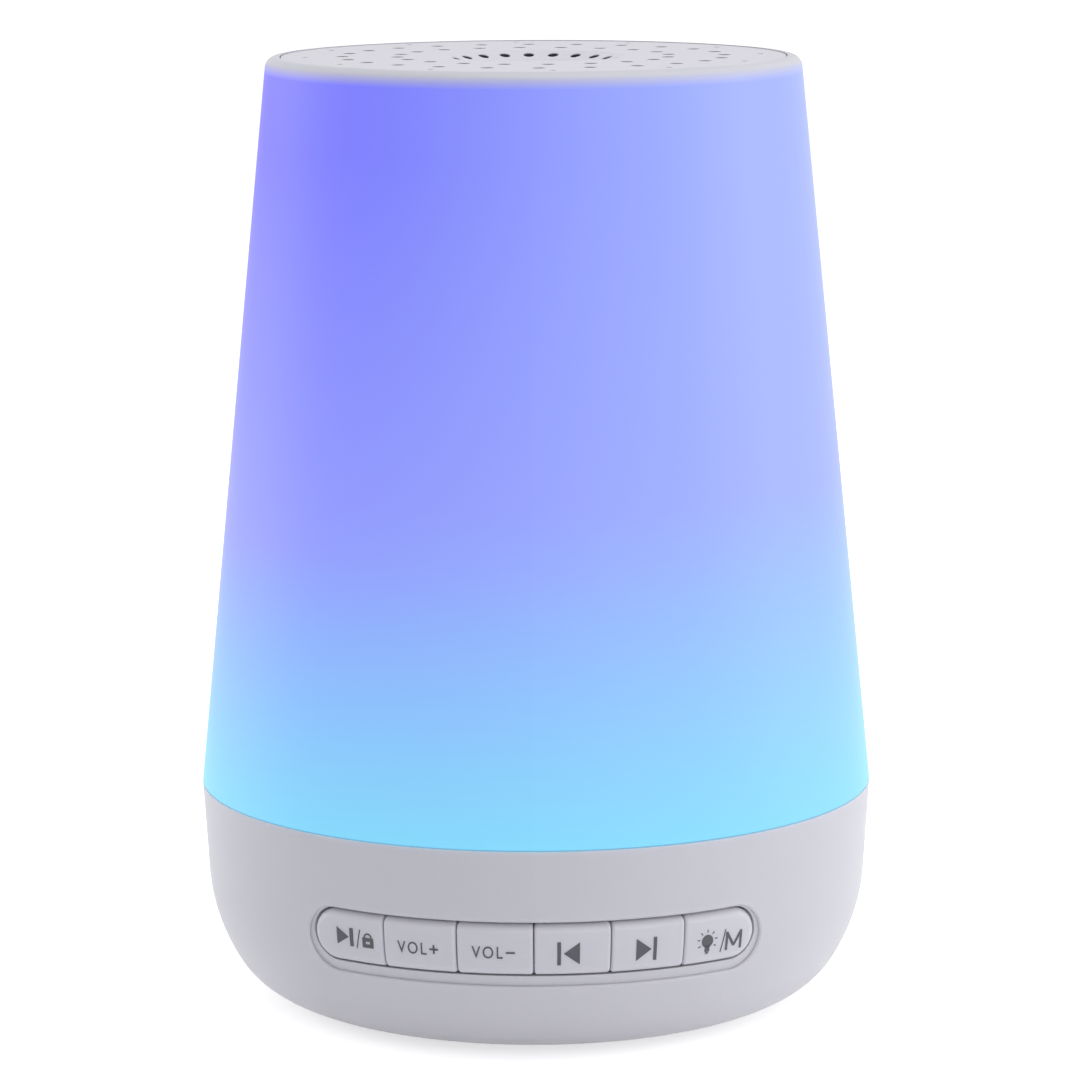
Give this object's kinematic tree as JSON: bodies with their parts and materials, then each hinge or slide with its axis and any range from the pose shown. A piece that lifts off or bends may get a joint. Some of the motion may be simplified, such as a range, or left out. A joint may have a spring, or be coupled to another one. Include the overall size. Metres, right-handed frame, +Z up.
{
  "type": "white noise sound machine",
  "caption": "Bedside white noise machine with a tapered frosted light shade, perforated speaker top, rounded base and a pill-shaped row of front keys.",
  "frame": {"origin": "centre of the foot ring on the table, under the middle of the body", "axes": "+Z up along the body axis; the key strip faces -Y; the power socket faces +Y; +X is to the right seen from the front"},
  "size_m": [0.1, 0.1, 0.1403],
  "materials": {
    "shade_frosted": "frosted translucent plastic lit from inside, violet blue at the top left to cyan at the bottom",
    "grille_plastic": "fine matt pale grey",
    "grille_cloth": "fine black acoustic cloth",
    "foam": "closed-cell foam",
    "steel_black": "black coated steel",
    "rubber_black": "smooth rubber",
    "cone_paper": "pressed paper pulp",
    "former_aluminium": "thin foil",
    "copper_wire": "enamelled copper wire",
    "spider_cloth": "treated cloth",
    "steel_zinc": "zinc plated",
    "ferrite": "sintered ferrite",
    "screw_steel": "nickel plated",
    "white_plastic": "matt white, light-reflecting",
    "board_white": "white solder mask",
    "board_green": "green solder mask",
    "led_resin": "clear resin in a white package",
    "connector_plastic": "moulded nylon",
    "base_plastic": "fine satin off-white",
    "key_plastic": "fine satin off-white",
    "legend_ink": "pad-printed dark grey ink of the key marks",
    "button_plastic": "plain moulding",
    "foot_rubber": "matt silicone rubber",
    "chip_black": "moulded epoxy",
    "capacitor_can": "bare can",
    "socket_steel": "nickel plated, bright",
    "battery_foil": "laminated foil",
    "tape": "double-sided foam tape",
    "ribbon_white": "flat film cable",
    "lead_black": "insulated wire",
    "lead_white": "insulated wire",
    "lead_red": "insulated wire"
  },
  "bodies": {
    "housing": {"base_shell": "base_plastic", "battery_leads": "lead_red", "battery_pack": "battery_foil", "battery_tape": "tape", "board_capacitors": "capacitor_can", "board_chips": "chip_black", "board_connectors": "connector_plastic", "bottom_cover": "base_plastic", "bracket_screws": "screw_steel", "case_screws": "screw_steel", "grille_cloth": "grille_cloth", "key_circuit_strip": "board_green", "key_ribbon_cable": "ribbon_white", "key_switch_bodies": "chip_black", "key_switch_bracket": "white_plastic", "led_board": "board_white", "led_leads": "lead_white", "led_packages": "led_resin", "led_plug": "connector_plastic", "light_deck": "white_plastic", "main_board": "board_green", "pillar_screws": "screw_steel", "rubber_foot_ring": "foot_rubber", "shade": "shade_frosted", "shade_screws": "screw_steel", "speaker_basket": "steel_black", "speaker_front_plate": "steel_zinc", "speaker_gasket": "foam", "speaker_leads": "lead_black", "speaker_magnet": "ferrite", "speaker_pillar": "white_plastic", "speaker_screws": "screw_steel", "speaker_spider": "spider_cloth", "speaker_surround": "rubber_black", "speaker_terminals": "board_green", "speaker_yoke": "steel_zinc", "top_grille": "grille_plastic", "usb_socket_shell": "socket_steel", "usb_socket_tongue": "chip_black"},
    "key_play_lock": {"key_play_lock": "key_plastic", "key_play_lock_button": "button_plastic"},
    "key_volume_up": {"key_volume_up": "key_plastic", "key_volume_up_button": "button_plastic"},
    "key_volume_down": {"key_volume_down": "key_plastic", "key_volume_down_button": "button_plastic"},
    "key_previous": {"key_previous": "key_plastic", "key_previous_button": "button_plastic"},
    "key_next": {"key_next": "key_plastic", "key_next_button": "button_plastic"},
    "key_light_mode": {"key_light_mode": "key_plastic", "key_light_mode_button": "button_plastic"},
    "speaker_diaphragm": {"speaker_cone": "cone_paper", "speaker_dust_cap": "cone_paper", "voice_coil_former": "former_aluminium", "voice_coil_winding": "copper_wire"}
  },
  "joints": [
    {"name": "key_play_lock_press", "type": "slide", "parent": "housing", "child": "key_play_lock", "axis": [0.5418, 0.8405, 0], "range_m": [0, 0.0005], "stiffness_N_per_m": 1500, "springref_m": -0.0005},
    {"name": "key_volume_up_press", "type": "slide", "parent": "housing", "child": "key_volume_up", "axis": [0.3308, 0.9437, 0], "range_m": [0, 0.0005], "stiffness_N_per_m": 1500, "springref_m": -0.0005},
    {"name": "key_volume_down_press", "type": "slide", "parent": "housing", "child": "key_volume_down", "axis": [0.1122, 0.9937, 0], "range_m": [0, 0.0005], "stiffness_N_per_m": 1500, "springref_m": -0.0005},
    {"name": "key_previous_press", "type": "slide", "parent": "housing", "child": "key_previous", "axis": [-0.1122, 0.9937, 0], "range_m": [0, 0.0005], "stiffness_N_per_m": 1500, "springref_m": -0.0005},
    {"name": "key_next_press", "type": "slide", "parent": "housing", "child": "key_next", "axis": [-0.3308, 0.9437, 0], "range_m": [0, 0.0005], "stiffness_N_per_m": 1500, "springref_m": -0.0005},
    {"name": "key_light_mode_press", "type": "slide", "parent": "housing", "child": "key_light_mode", "axis": [-0.5418, 0.8405, 0], "range_m": [0, 0.0005], "stiffness_N_per_m": 1500, "springref_m": -0.0005},
    {"name": "cone_travel", "type": "slide", "parent": "housing", "child": "speaker_diaphragm", "axis": [0, 0, 1], "range_m": [-0.001, 0.001], "stiffness_N_per_m": 1000, "deforming": ["speaker_surround", "speaker_spider"]}
  ]
}
